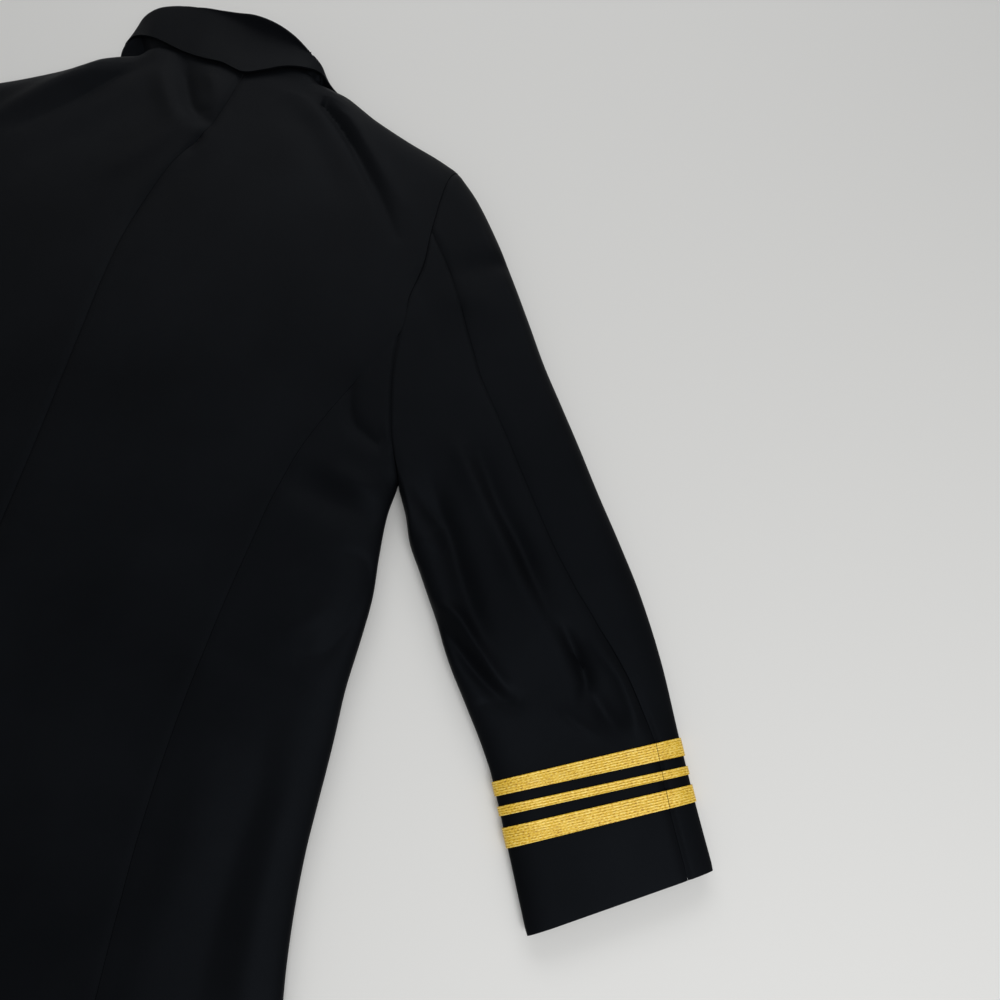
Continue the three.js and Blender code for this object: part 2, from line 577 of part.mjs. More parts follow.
/** Adds one named piece. */
function addPiece(name, geometry, material) {
  const mesh = new THREE.Mesh(geometry, material);
  mesh.name = name;
  layout.add(mesh);
  return mesh;
}

for (const [half, side] of [['right', 1], ['left', -1]]) {
  const folds = FOLDS[half];
  const rings = sleeveRings(side, folds);
  const grids = {
    [`back_${half}`]: backGrid(side, folds),
    [`side_${half}`]: sideGrid(side, folds),
    [`front_${half}`]: frontGrid(side).map((row) => row.reverse()),
    [`top_sleeve_${half}`]: arc(rings, FORE_SEAM, HIND_SEAM).map((row) => row.reverse()),
    [`under_sleeve_${half}`]: arc(rings, HIND_SEAM, FORE_SEAM).map((row) => row.reverse()),
  };
  const sums = new Map();
  gatherNormals(Object.values(grids), sums);
  if (half === 'right') {
    gatherNormals([backGrid(-1, FOLDS.left).map((row) => row.reverse())], sums);
  } else {
    gatherNormals([backGrid(1, FOLDS.right).map((row) => row.reverse())], sums);
  }
  for (const [name, grid] of Object.entries(grids)) {
    const ease = name.includes('sleeve') ? ARMHOLE_EASE : 0;
    addPiece(name, clothWall(grid, sums, -side, ease), wool);
  }
  addPiece(`lapel_${half}`, closedWall(lapelGrid(side), lapelGrid(side).map((row) => row.map((p) => {
    return p.clone().setZ(p.z + WALL);
  }))), wool);
  for (const band of BRAID) {
    addPiece(`braid_${band.name}_${half}`, braidWall(rings, sums, -side, band), lace);
  }
}

addPiece('collar', collarWall(), wool);

BUTTON_ROWS.forEach((y, row) => BUTTON_COLUMNS.forEach((x, column) => {
  const button = addPiece(`button_${row + 1}_${column + 1}`, buttonGeometry(), gilt);
  button.position.set(x, y, 0);
}));

export default garment;
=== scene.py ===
# %% [markdown]
# # A double-breasted uniform blazer, lying face down
#
# The jacket lies on its fronts with its back up. Each piece that a tailor cuts is one thin sheet
# here: two half backs, two side bodies, two fronts, two lapels, a collar and two-piece sleeves.
# Gold lace goes round the cuffs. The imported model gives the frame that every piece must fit, so it
# is loaded first.

# %% Load the frame
import math

import bpy
import numpy as np
from mathutils import Matrix


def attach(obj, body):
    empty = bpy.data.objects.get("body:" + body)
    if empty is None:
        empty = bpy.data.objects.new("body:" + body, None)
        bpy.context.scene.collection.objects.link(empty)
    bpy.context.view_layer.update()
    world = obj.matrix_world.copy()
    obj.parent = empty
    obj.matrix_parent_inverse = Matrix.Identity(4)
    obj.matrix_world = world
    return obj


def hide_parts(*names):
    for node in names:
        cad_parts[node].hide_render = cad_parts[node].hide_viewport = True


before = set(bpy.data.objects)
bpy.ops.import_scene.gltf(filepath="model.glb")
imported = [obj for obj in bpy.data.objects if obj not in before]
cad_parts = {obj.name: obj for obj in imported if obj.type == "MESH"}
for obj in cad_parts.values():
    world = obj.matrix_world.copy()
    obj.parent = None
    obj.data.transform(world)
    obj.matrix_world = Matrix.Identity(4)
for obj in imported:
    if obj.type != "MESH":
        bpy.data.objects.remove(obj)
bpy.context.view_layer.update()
MM = 0.001
# the rest is in millimetres
WALL = 2.0
SEAM_GAP = 0.32
LAYER = 2.6
# how far the buttons hold the fronts off the table, and where that begins and ends
BUTTON_LIFT = 5.8
LIFT_FULL, LIFT_FALL = 160, 80
LIFT_TOP, LIFT_RISE = 358, 82
LIFT_END, LIFT_FADE = 700, 80
# widths over which the cloth turns round an edge
SIDE_ROLL, SHOULDER_ROLL, SLEEVE_ROLL = 35, 30, 24
FRONT_EDGE, BREAK_Y = 90, -450
# where the lapel and the other front stop lying under a front
LAYERS_FULL, LAYERS_GONE = 185, 245
LAPEL_END, LAPEL_FADE = 480, 85
MIDDLE_Y = -402.4
print("nodes in the frame:", len(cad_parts))

# %% [markdown]
# ## The camera
# The lens and the tilt set how the jacket narrows away from the viewer. They are fixed before
# anything is shaped, so that every outline can be judged from the same place.

# %% Camera
camera_data = bpy.data.cameras.new("camera")
camera_data.lens = 27.04
camera_data.sensor_width = 36
camera = bpy.data.objects.new("camera", camera_data)
camera.location = (0.441, -0.2496, 0.6121)
camera.rotation_euler = (math.radians(21.68), 0, math.radians(12))
bpy.context.scene.collection.objects.link(camera)
bpy.context.scene.camera = camera
print("camera at", tuple(camera.location))

# %% [markdown]
# ## Sizes of the cut
# A tailor's pattern is a few measured points joined by fair curves. These tables are that pattern,
# in millimetres: x runs from the middle of the back to the wearer's right, y from the neck toward
# the collar, so the hem has the lowest y. A left piece is the right one with x turned round.

# %% Pattern tables
BACK_HEIGHT = [
    (-870, 22), (-700, 26), (-600, 27), (-426, 28), (-250, 29), (-120, 31), (-60, 33), (0, 37), (20, 38),
]
SHOULDER = [(104, 8), (122, 2), (140, -5), (159, -17), (178, -29), (215, -48), (250, -64), (276, -78)]
NECK_X, NECK_Y = SHOULDER[0]
ARMHOLE = [
    (276, -78), (272, -90), (269, -115), (269, -163), (271, -203), (267, -242), (268, -284),
    (272, -322), (280, -358), (288, -386), (296, -406), (301, -418), (303, -426),
]
HIND_SEAM, BACK_SEAM, FRONT_SEAM = 3, 6, 8
UNDERARM = len(ARMHOLE) - 1

# side-back seam, side edge, front side seam
SIDE_ROWS = [
    ((240, -345), (301, -455), (270, -400)), ((216, -408), (304, -491), (263, -440)),
    ((206, -455), (308, -525), (259, -480)), ((201, -500), (308, -560), (257, -520)),
    ((197, -545), (307, -600), (256, -565)), ((194, -590), (309, -640), (256, -610)),
    ((192, -640), (310, -680), (257, -655)), ((192, -690), (311, -715), (258, -700)),
    ((194, -740), (314, -750), (260, -740)), ((198, -785), (319, -785), (263, -780)),
    ((202, -825), (326, -820), (266, -820)), ((206, -862), (334, -856), (270, -860)),
]
CENTRE_BACK = [
    (26, 13), (22, -22), (17, -56), (5, -96), (-10, -132), (-19, -172), (-25, -222), (-24, -280),
    (-20, -340), (-16, -400), (-12, -460), (-9, -520), (-6, -575), (-4, -630), (-2, -685),
    (-1, -735), (0, -785), (0, -828), (0, -866),
]
ROLL_LINE_Y = [8, -20, -60, -110, -160, -210, -260, -310, -358]
LAPEL_TOP = [(66, -88), (93, -100), (120, -112), (140, -92), (162, -72)]
LAPEL_ROWS = [
    (-130, 158), (-180, 140), (-240, 112), (-300, 76), (-358, 36), (-400, -12), (-440, -66), (-448, -78),
]

# inner edge, outer edge, height, share of the width at the hind-arm seam, lift by the lace below
SLEEVE = [
    ((316, -450), (304, -110), 27, 0.66, 0), ((326, -474), (336, -158), 26, 0.635, 0),
    ((340, -496), (359, -198), 25, 0.62, 0), ((352, -515), (382, -240), 25, 0.635, 0),
    ((364, -534), (404, -281), 25, 0.65, 0), ((374, -552), (427, -319), 25, 0.655, 0),
    ((384, -568), (450, -357), 25, 0.66, 0), ((394, -582), (473, -396), 24, 0.67, 0),
    ((404, -596), (497, -435), 23, 0.69, 0), ((416, -613), (521, -476), 21, 0.73, 0),
    ((425, -627), (545, -526), 19, 0.80, 0.7), ((433, -641), (566, -580), 17, 0.86, 1.25),
    ((454, -685), (584, -625), 16, 0.85, 1.25), ((478, -736), (602, -667), 15, 0.85, 1.25),
]
HEAD_RINGS, BRAID_RING = 4, 12
EDGE_COLUMNS = [1, 0.975, 0.92]
UNDER_COLUMNS = [1, 0.82, 0.65, 0.5, 0.36, 0.24, 0.15, 0.075, 0.025, 0]
BRAID = {"upper": (0.02, 0.285), "middle": (0.43, 0.565), "lower": (0.71, 0.975)}
print("rows: back", len(CENTRE_BACK), "side", len(SIDE_ROWS) + 1, "sleeve", len(SLEEVE) + 1)

# %% [markdown]
# ## The folds
# Wool that lies loose takes a few long soft folds and many short ones, no two alike. Each row is a
# chain of points, a depth (down where it is negative), a width, and how sharply its middle breaks:
# 2 is a soft swell and 1 a crease with a line in it.

# %% Fold tables
FOLDS = {
    "right": [
        # upper back and shoulder
        ([(58, -4), (82, -6), (108, -20), (134, -42),
          (160, -70), (186, -103), (211, -137), (237, -178)], -6.5, 5.5, 1.25),
        ([(92, -4), (122, -14), (147, -36), (177, -70), (205, -104), (233, -140)], 3.5, 8, 1.8),
        ([(73, -29), (118, -70), (171, -140)], -3, 18, 2),
        # sleeve head
        ([(277, -224), (297, -204), (319, -195), (341, -183), (359, -174)], -8, 12, 1.7),
        ([(287, -245), (314, -233), (353, -237)], 3, 11, 2),
        ([(309, -234), (344, -283), (373, -330)], -1.6, 14, 2),
        # back at the underarm
        ([(240, -340), (243, -362), (252, -380), (276, -394), (292, -400)], -4.4, 6, 1.2),
        ([(214, -440), (250, -452), (296, -462)], -5.5, 14, 2),
        ([(240, -426), (272, -436), (300, -440)], 2.4, 10, 2),
        ([(276, -496), (296, -498), (306, -520)], -3.0, 6, 1.3),
        ([(262, -585), (284, -578), (297, -552), (304, -520)], -3.6, 8, 1.5),
        ([(246, -566), (266, -556), (280, -536)], 2.6, 9, 2),
        ([(196, -592), (234, -602), (288, -606)], -2.2, 12, 1.8),
        # skirt
        ([(262, -640), (268, -690), (266, -736), (268, -790), (278, -862)], -2.6, 14, 1.8),
        ([(290, -660), (292, -720), (297, -790), (306, -860)], 1.4, 11, 2),
        ([(222, -650), (230, -720), (226, -800), (232, -864)], 2.4, 18, 2),
        ([(96, -506), (150, -512), (196, -506)], -1.8, 22, 2),
        ([(60, -640), (90, -720), (86, -820)], -2.0, 26, 2),
        # elbow
        ([(340, -377), (359, -400), (389, -438), (420, -481), (447, -512), (468, -539)], 6, 11, 1.7),
        ([(365, -384), (390, -426), (413, -455), (433, -485), (457, -520)], -9, 9, 1.65),
        ([(324, -410), (351, -450), (377, -498), (404, -542)], -8, 10, 1.75),
        ([(311, -420), (322, -432), (337, -445), (350, -456)], -7.5, 9, 1.75),
        ([(329, -477), (342, -471), (357, -474)], 2.5, 7, 2),
        ([(358, -522), (378, -526), (395, -542), (418, -565), (431, -576)], 6, 6, 1.7),
        ([(365, -534), (383, -549), (400, -564), (421, -578), (438, -583)], -7, 7, 1.7),
        ([(462, -517), (471, -528), (481, -541), (489, -556), (488, -570)], -7, 5.5, 1.6),
        ([(486, -520), (499, -534), (513, -547), (527, -570), (532, -587)], 4.5, 6, 1.5),
        ([(494, -561), (508, -577), (521, -586)], -5, 7, 1.6),
        ([(472, -580), (485, -587), (503, -594)], 2, 4, 1.5),
        ([(405, -592), (421, -587), (440, -583)], -2.5, 4, 1.2),
    ],
    "left": [
        ([(80, -6), (112, -34), (146, -76), (188, -124)], -5.6, 11, 1.4),
        ([(116, 2), (146, -34), (190, -84), (226, -136)], 3.8, 12, 2),
        ([(70, -60), (112, -110), (150, -168)], -2.2, 20, 2),
        ([(268, -216), (300, -208), (340, -214)], -3.2, 12, 1.7),
        ([(236, -352), (252, -378), (286, -392)], -3.0, 7, 1.3),
        ([(220, -452), (262, -458), (298, -470)], -4.0, 14, 2),
        ([(266, -560), (290, -548), (304, -512)], -3.2, 8, 1.5),
        ([(190, -600), (238, -612), (292, -604)], -2.4, 13, 1.8),
        ([(256, -630), (262, -700), (258, -780), (270, -860)], -5.4, 14, 1.7),
        ([(288, -650), (294, -730), (304, -850)], 2.8, 12, 2),
        ([(120, -560), (128, -680), (112, -800)], -2.0, 26, 2),
        ([(302, -290), (340, -356), (386, -424), (430, -500)], 4.6, 12, 1.8),
        ([(322, -280), (362, -350), (410, -420), (452, -486)], -3.8, 10, 1.5),
        ([(310, -392), (352, -452), (400, -520), (436, -566)], -4.6, 11, 1.6),
        ([(470, -510), (486, -534), (506, -552)], -3.6, 6, 1.3),
        ([(488, -506), (516, -544), (528, -578)], 2.8, 9, 1.8),
        ([(332, -452), (366, -508), (404, -562)], 2.8, 9, 1.8),
        ([(404, -580), (426, -584), (452, -574)], -2.8, 6, 1.3),
    ],
}
MIDDLE_FOLDS = [
    ([(-51, 8), (-41, -14), (-20, -53), (-6, -67), (11, -78)], -6, 8, 1.4),
    ([(-69, -8), (-47, -49), (-16, -85)], 2.5, 12, 2),
    ([(-19, -5), (2, -31), (9, -59)], 2.5, 9, 2),
    ([(8, -92), (4, -102), (1, -121)], -2.5, 6, 1.4),
    ([(24, -118), (4, -150), (-20, -196), (-32, -240)], -2.2, 16, 2),
    ([(-10, -60), (-34, -112), (-70, -160)], 2.5, 14, 2),
]
FOLDS["right"] += MIDDLE_FOLDS
for path, *shape in MIDDLE_FOLDS:
    FOLDS["left"].append(([(-x, y) for x, y in path], *shape))
print("folds:", {half: len(rows) for half, rows in FOLDS.items()})

# %% [markdown]
# ## Fair curves and heights
# A curve through the pattern's points is a Catmull-Rom spline: it passes through each point and
# takes its direction from the two beside it. Heights are plain functions of the place, so that
# two pieces that meet at a seam agree there without any fitting.

# %% Helpers for curves and heights
def spline(points, t):
    """Points of a fair curve at the places t, counted in rows of its table."""
    p = np.asarray(points, float)
    p = np.vstack([2 * p[0] - p[1], p, 2 * p[-1] - p[-2]])
    i = np.clip(np.floor(t).astype(int), 0, len(p) - 4)
    f = (np.asarray(t) - i)[:, None]
    a, b, c, d = p[i], p[i + 1], p[i + 2], p[i + 3]
    return 0.5 * (2 * b + (c - a) * f + (2 * a - 5 * b + 4 * c - d) * f**2 + (3 * b - a - 3 * c + d) * f**3)


def smooth(t):
    t = np.clip(t, 0, 1)
    return t * t * (3 - 2 * t)


def roll(t):
    return np.sqrt(np.clip(1 - (1 - np.clip(t, 0, 1)) ** 2, 0, 1))


def to_path(x, y, path):
    """Distance from each (x, y) to a chain of points, and how far along it the nearest lies."""
    best = np.full(np.shape(x), np.inf)
    along = np.zeros(np.shape(x))
    for i, ((ax, ay), (bx, by)) in enumerate(zip(path[:-1], path[1:])):
        t = np.clip(((x - ax) * (bx - ax) + (y - ay) * (by - ay)) / ((bx - ax) ** 2 + (by - ay) ** 2), 0, 1)
        d = np.hypot(x - ax - (bx - ax) * t, y - ay - (by - ay) * t)
        along = np.where(d < best, (i + t) / (len(path) - 1), along)
        best = np.minimum(best, d)
    return best, along


FINE = 6
SHOULDER_PATH = spline(SHOULDER, np.linspace(0, len(SHOULDER) - 1, FINE * len(SHOULDER)))
SIDE_EDGE = [ARMHOLE[-1]] + [row[1] for row in SIDE_ROWS]
SIDE_PATH = spline(SIDE_EDGE, np.linspace(0, len(SIDE_EDGE) - 1, FINE * len(SIDE_EDGE)))


def back_height(y):
    table = np.array(BACK_HEIGHT, float)
    return np.interp(y, table[:, 0], table[:, 1])


def body_roll(x, y):
    at_shoulder = roll(to_path(x, y, SHOULDER_PATH)[0] / SHOULDER_ROLL)
    return at_shoulder * roll(to_path(x, y, SIDE_PATH)[0] / SIDE_ROLL)


def fold_height(x, y, half):
    total = np.zeros(np.shape(x))
    for path, depth, width, break_ in FOLDS[half]:
        fair = spline(path, np.linspace(0, len(path) - 1, 5 * len(path)))
        d, along = to_path(x, y, fair)
        taper = np.sin(np.pi * np.clip(0.04 + 0.92 * along, 0, 1)) ** 0.7
        total += depth * taper * np.exp(-((d / width) ** break_))
    return total


def body_top(x, y, half):
    h = back_height(y)
    r = body_roll(x, y)
    return h / 2 + h / 2 * r + fold_height(x, y, half) * r


def button_lift(x, y):
    across = 1 - smooth((np.abs(x) - LIFT_FULL) / LIFT_FALL)
    begins = smooth((-y - LIFT_TOP) / LIFT_RISE)
    return BUTTON_LIFT * across * begins * (1 - smooth((-y - LIFT_END) / LIFT_FADE))


def front_bottom(x, y, side):
    layers = 1 if side < 0 else 3 - smooth((-y - LAPEL_END) / LAPEL_FADE)
    layers = layers * (1 - smooth((np.abs(x) - LAYERS_FULL) / (LAYERS_GONE - LAYERS_FULL)))
    base = LAYER * layers + button_lift(x, y)
    mid = back_height(y) / 2
    return mid + (base - mid) * body_roll(np.abs(x), y)


def roll_line(y):
    return NECK_X - (NECK_X + FRONT_EDGE) * (NECK_Y - np.asarray(y, float)) / (NECK_Y - BREAK_Y)


def steps(count, end, edge=(0.0, 0.012, 0.03)):
    """Places along 0 to end: closer together by the two edges, where a seam turns the cloth in."""
    inner = np.linspace(0.05, 0.95, count)
    return end * np.concatenate([edge, inner, 1 - np.array(edge[::-1])])


print("height of the back at the neck and the hem:", back_height(0), back_height(-860))

# %% [markdown]
# ## From a grid to a sheet of cloth
# A sheet starts as a grid of points on the outer face. At its edges the cloth is turned in and
# pressed, so the outer face dips a little there: that dip is what makes a seam show as a soft
# line. Solidify then gives the sheet its thickness, on the inner side only.

# %% Helper that sews a grid into a sheet
def grid_normals(grid):
    du = np.gradient(grid, axis=1)
    dv = np.gradient(grid, axis=0)
    n = np.cross(du, dv)
    return n / np.maximum(np.linalg.norm(n, axis=2, keepdims=True), 1e-9)


def lengths(grid, axis):
    """How far each point lies along its column (axis 0) or its row (axis 1)."""
    first = grid[:1] if axis == 0 else grid[:, :1]
    return np.cumsum(np.linalg.norm(np.diff(grid, axis=axis, prepend=first), axis=2), axis=axis)


def press_edges(grid, dip, sides, reach=2.8):
    """Pulls the outer face in by dip along its edges: first row, last row, first column, last."""
    n = grid_normals(grid)
    down, across = lengths(grid, 0), lengths(grid, 1)
    distances = (down, down[-1:] - down, across, across[:, -1:] - across)
    drop = np.zeros(grid.shape[:2])
    for distance, on in zip(distances, sides):
        if on:
            drop = np.maximum(drop, on * dip * np.exp(-((distance / reach) ** 2)))
    return grid - n * drop[..., None]


def sheet_object(name, grid, wall=WALL):
    """A mesh sheet from a grid of points in millimetres, with a UV map in metres of cloth."""
    rows, columns, _ = grid.shape
    place = grid - np.array([0, MIDDLE_Y, 0])
    mesh = bpy.data.meshes.new(name)
    index = np.arange(rows * columns).reshape(rows, columns)
    corners = (index[:-1, :-1], index[:-1, 1:], index[1:, 1:], index[1:, :-1])
    faces = np.stack(corners, axis=-1).reshape(-1, 4)
    mesh.from_pydata((place.reshape(-1, 3) * MM).tolist(), [], faces.tolist())
    uv = np.stack([lengths(grid, 1) * MM, lengths(grid, 0) * MM], axis=-1).reshape(-1, 2)
    layer = mesh.uv_layers.new(name="cloth")
    loops = np.zeros(len(mesh.loops), int)
    mesh.loops.foreach_get("vertex_index", loops)
    layer.data.foreach_set("uv", uv[loops].ravel())
    obj = bpy.data.objects.new(name, mesh)
    bpy.context.scene.collection.objects.link(obj)
    thick = obj.modifiers.new("thickness", "SOLIDIFY")
    thick.thickness = wall * MM
    thick.offset = -1
    thick.use_even_offset = False
    bpy.ops.object.select_all(action="DESELECT")
    obj.select_set(True)
    bpy.context.view_layer.objects.active = obj
    bpy.ops.object.modifier_apply(modifier="thickness")
    bpy.ops.object.shade_smooth_by_angle(angle=math.radians(50))
    return obj


print("helpers ready")

# %% [markdown]
# ## The half backs
# Each half back runs from the middle seam to the armhole and then to the side-back seam. Rows go
# straight across between those two curves, and near the shoulder they bend to follow its slope.

# %% The two half backs
NECK_TOP = 14


def across_rows(middle, end, top, row, column, bend):
    """Points of a panel: straight rows from middle to end, bent toward the top curve near it."""
    share_table = (np.array(top)[:, 0] - top[0][0]) / (top[-1][0] - top[0][0])
    s = np.interp(column, np.arange(len(top)), share_table)[None, :, None]
    a, b = spline(middle, row)[:, None], spline(end, row)[:, None]
    t = spline(top, column)[None]
    chord = np.array(top[0]) * (1 - s) + np.array(top[-1]) * s
    return a * (1 - s) + b * s + bend[:, None, None] * (t - chord)


def back_grid(side, half):
    middle = [(x * side, y) for x, y in CENTRE_BACK]
    end = ARMHOLE[:BACK_SEAM + 1] + [row[0] for row in SIDE_ROWS]
    necks = [(middle[0][0] + (NECK_X - middle[0][0]) * part, NECK_TOP) for part in (1 / 3, 2 / 3)]
    top = [middle[0]] + necks + SHOULDER
    row = steps(210, len(end) - 1, (0.0, 0.002, 0.005, 0.01, 0.02, 0.035))
    column = steps(96, len(top) - 1, (0.0, 0.006, 0.015, 0.03))
    bend = np.clip(1 - row / BACK_SEAM, 0, 1) ** 2
    plan = across_rows(middle, end, top, row, column, bend)
    z = body_top(plan[..., 0], plan[..., 1], half)
    grid = np.dstack([plan[..., 0] * side, plan[..., 1], z])
    return grid if side > 0 else grid[:, ::-1]


SEAM_DIP = 1.4
# shares of that dip: a turned hem, and a seam pressed open so flat that it hardly shows
HEM, FLAT_SEAM = 0.4, 0.35


def inset(grid, gap=SEAM_GAP / 2):
    """Moves the four edges in by half a seam's gap."""
    g = grid.copy()
    for here, there in ((0, 1), (-1, -2)):
        way = grid[there] - grid[here]
        g[here] += way / np.linalg.norm(way, axis=1, keepdims=True) * gap
        way = grid[:, there] - grid[:, here]
        g[:, here] += way / np.linalg.norm(way, axis=1, keepdims=True) * gap
    return g


def sew(name, grid, sides):
    """A finished sheet. Its grid comes with its normals out; sides says how deep each seam is."""
    return sheet_object(name, press_edges(inset(grid), SEAM_DIP, sides))


def flip(grid):
    return grid[:, ::-1]


pieces = {}
for half, side in (("right", 1), ("left", -1)):
    grid = flip(back_grid(side, half))
    side_seam_first = abs(grid[5, 0, 0]) > abs(grid[5, -1, 0])
    seams = (FLAT_SEAM, 1) if side_seam_first else (1, FLAT_SEAM)
    pieces[f"back_{half}"] = sew(f"back_{half}_sheet", grid, (1, HEM, *seams))
    print("back", half, len(pieces[f"back_{half}"].data.polygons), "faces")

# %% [markdown]
# ## The side bodies
# A side body starts at the side-back seam, turns round the edge where the jacket folds flat, and
# ends underneath at the front side seam. Its columns are set close together round the fold.

# %% The two side bodies
SHARES = np.array(UNDER_COLUMNS)


def side_face(side, half, seams, first, sign, row, column):
    """One face of a side body, upper where sign is 1: column counts armhole points from first."""
    table = np.concatenate([np.ones(HIND_SEAM), SHARES]) / SHARES[first - HIND_SEAM]
    share = np.interp(column, np.arange(UNDERARM + 1), table)[None, :, None]
    edge = spline(SIDE_EDGE, row)[:, None]
    seam = spline([ARMHOLE[first]] + seams, row)[:, None]
    hole = spline(ARMHOLE, column)[None]
    chord = np.array(ARMHOLE[UNDERARM]) * (1 - share) + np.array(ARMHOLE[first]) * share
    fade = (1 - row / len(SIDE_ROWS)) ** 2 * (0.35 + 0.65 * np.exp(-1.5 * row))
    plan = edge * (1 - share) + seam * share + fade[:, None, None] * (hole - chord)
    x, y = plan[..., 0], plan[..., 1]
    z = body_top(x, y, half) if sign > 0 else front_bottom(x * side, y, side)
    return np.dstack([x * side, y, z])


def side_grid(side, half):
    row = steps(150, len(SIDE_ROWS), (0.0, 0.002, 0.006, 0.012, 0.025))
    upper = np.linspace(BACK_SEAM, UNDERARM, 54)
    lower = np.linspace(UNDERARM, FRONT_SEAM, 30)[1:]
    return np.concatenate([
        side_face(side, half, [r[0] for r in SIDE_ROWS], BACK_SEAM, 1, row, upper),
        side_face(side, half, [r[2] for r in SIDE_ROWS], FRONT_SEAM, -1, row, lower),
    ], axis=1)


for half, side in (("right", 1), ("left", -1)):
    grid = side_grid(side, half)
    outward = flip(grid) if side > 0 else grid
    pieces[f"side_{half}"] = sew(f"side_{half}_sheet", outward, (1, HEM, FLAT_SEAM, FLAT_SEAM))
    print("side", half, len(pieces[f"side_{half}"].data.polygons), "faces")

# %% [markdown]
# ## The fronts and lapels
# The fronts carry the weight of the jacket, so they are nearly flat. The left one laps over the
# right one when the jacket is worn, so it is the lower one here. Each lapel is turned out along
# its roll line and lies under its own front.

# %% Fronts and lapels
def front_grid(side):
    end = ARMHOLE[:FRONT_SEAM + 1] + [r[2] for r in SIDE_ROWS]
    row = steps(110, len(end) - 1)
    column = steps(48, len(SHOULDER) - 1)
    y_in = np.interp(row, np.arange(len(end)), ROLL_LINE_Y + [p[1] for p in end[FRONT_SEAM + 1:]])
    a = np.dstack([np.maximum(roll_line(y_in), -FRONT_EDGE), y_in])[0][:, None]
    share = (np.array(SHOULDER)[:, 0] - NECK_X) / (SHOULDER[-1][0] - NECK_X)
    s = np.interp(column, np.arange(len(SHOULDER)), share)[None, :, None]
    chord = np.array(SHOULDER[0]) * (1 - s) + np.array(SHOULDER[-1]) * s
    bend = (np.clip(1 - row / FRONT_SEAM, 0, 1) ** 2)[:, None, None]
    plan = a * (1 - s) + spline(end, row)[:, None] * s + bend * (spline(SHOULDER, column)[None] - chord)
    x, y = plan[..., 0], plan[..., 1]
    return np.dstack([x * side, y, front_bottom(x * side, y, side)])


def lapel_grid(side):
    rows = np.linspace(0, len(LAPEL_ROWS), 60)
    columns = np.linspace(0, len(LAPEL_TOP) - 1, 24)
    y = np.array([r[0] for r in LAPEL_ROWS], float)
    inner = np.vstack([LAPEL_TOP[0], np.dstack([roll_line(y), y])[0]])
    outer = np.vstack([LAPEL_TOP[-1], [(r[1], r[0]) for r in LAPEL_ROWS]])
    s = (columns / columns[-1])[None, :, None]
    bend = np.clip(1 - rows, 0, 1)[:, None, None]
    places = np.arange(len(LAPEL_TOP))
    top = np.array([np.interp(columns, places, [p[i] for p in LAPEL_TOP]) for i in (0, 1)]).T[None]
    chord = np.array(LAPEL_TOP[0]) * (1 - s) + np.array(LAPEL_TOP[-1]) * s
    plan = spline(inner, rows)[:, None] * (1 - s) + spline(outer, rows)[:, None] * s + bend * (top - chord)
    x, y = plan[..., 0], plan[..., 1]
    return np.dstack([x * side, y, (0 if side < 0 else 2 * LAYER) + button_lift(x, y)])


for half, side in (("right", 1), ("left", -1)):
    for name, grid in (("front", front_grid(side)), ("lapel", lapel_grid(side))):
        facing_down = grid if side > 0 else flip(grid)
        pieces[f"{name}_{half}"] = sew(f"{name}_{half}_sheet", facing_down, (0, 0, 0, 0))
print("fronts and lapels made")

# %% [markdown]
# ## The sleeves
# A tailored sleeve has two pieces, joined along the hind arm, which shows down the middle of it
# here, and along the fore arm underneath. Both are strips of one flattened tube that starts as
# the armhole and ends as the cuff.

# %% The two-piece sleeves
def sleeve_face(side, half, sign, ring, column):
    """Upper or lower face of the sleeve: ring counts from the armhole, column from the outer edge."""
    inner = spline([ARMHOLE[-1]] + [r[0] for r in SLEEVE], ring)[:, None]
    outer = spline([ARMHOLE[0]] + [r[1] for r in SLEEVE], ring)[:, None]
    height, seam, lift = (
        np.interp(ring, np.arange(len(SLEEVE) + 1), [SLEEVE[0][i]] + [r[i] for r in SLEEVE])[:, None]
        for i in (2, 3, 4)
    )
    places = np.arange(UNDERARM + 1)
    fixed = np.interp(column, places, np.concatenate([EDGE_COLUMNS, 0 * SHARES]))
    scaled = np.interp(column, places, np.concatenate([np.zeros(HIND_SEAM), SHARES]))
    s = fixed[None] + scaled[None] * seam
    start = (fixed + scaled * SLEEVE[0][3])[None, :, None]
    left = (np.clip(1 - ring / HEAD_RINGS, 0, 1) ** 2)[:, None]
    chord = np.array(ARMHOLE[-1]) * (1 - start) + np.array(ARMHOLE[0]) * start
    hole = spline(ARMHOLE, column)
    plan = inner * (1 - s[..., None]) + outer * s[..., None] + left[..., None] * (hole[None] - chord)
    x, y = plan[..., 0], plan[..., 1]
    width = np.linalg.norm(outer - inner, axis=2)
    r = roll(np.minimum(s, 1 - s) * width / SLEEVE_ROLL)
    fold = fold_height(x, y, half) * r * (1 - left) if sign > 0 else 0
    own = lift + height / 2 + sign * height * r / 2 + fold
    at_hole = body_top(*hole.T, half) if sign > 0 else front_bottom(hole[:, 0] * side, hole[:, 1], side)
    return np.dstack([x * side, y, own * (1 - left) + at_hole[None] * left])


RINGS = np.concatenate([
    [0, 0.02, 0.06, 0.12, 0.2, 0.3], np.linspace(0.4, 11.9, 136), np.linspace(12, 13, 27),
    np.linspace(13.05, 13.9, 18), [13.94, 13.97, 14],
])
PER_COLUMN = 8


def sleeve_strip(side, half, parts, ring=RINGS):
    """Columns of the tube one after the other: each part is a face, its first and last column."""
    faces = []
    for sign, first, last in parts:
        column = np.linspace(first, last, PER_COLUMN * abs(last - first) + 1)
        faces.append(sleeve_face(side, half, sign, ring, column)[:, (1 if faces else 0):])
    return np.concatenate(faces, axis=1)


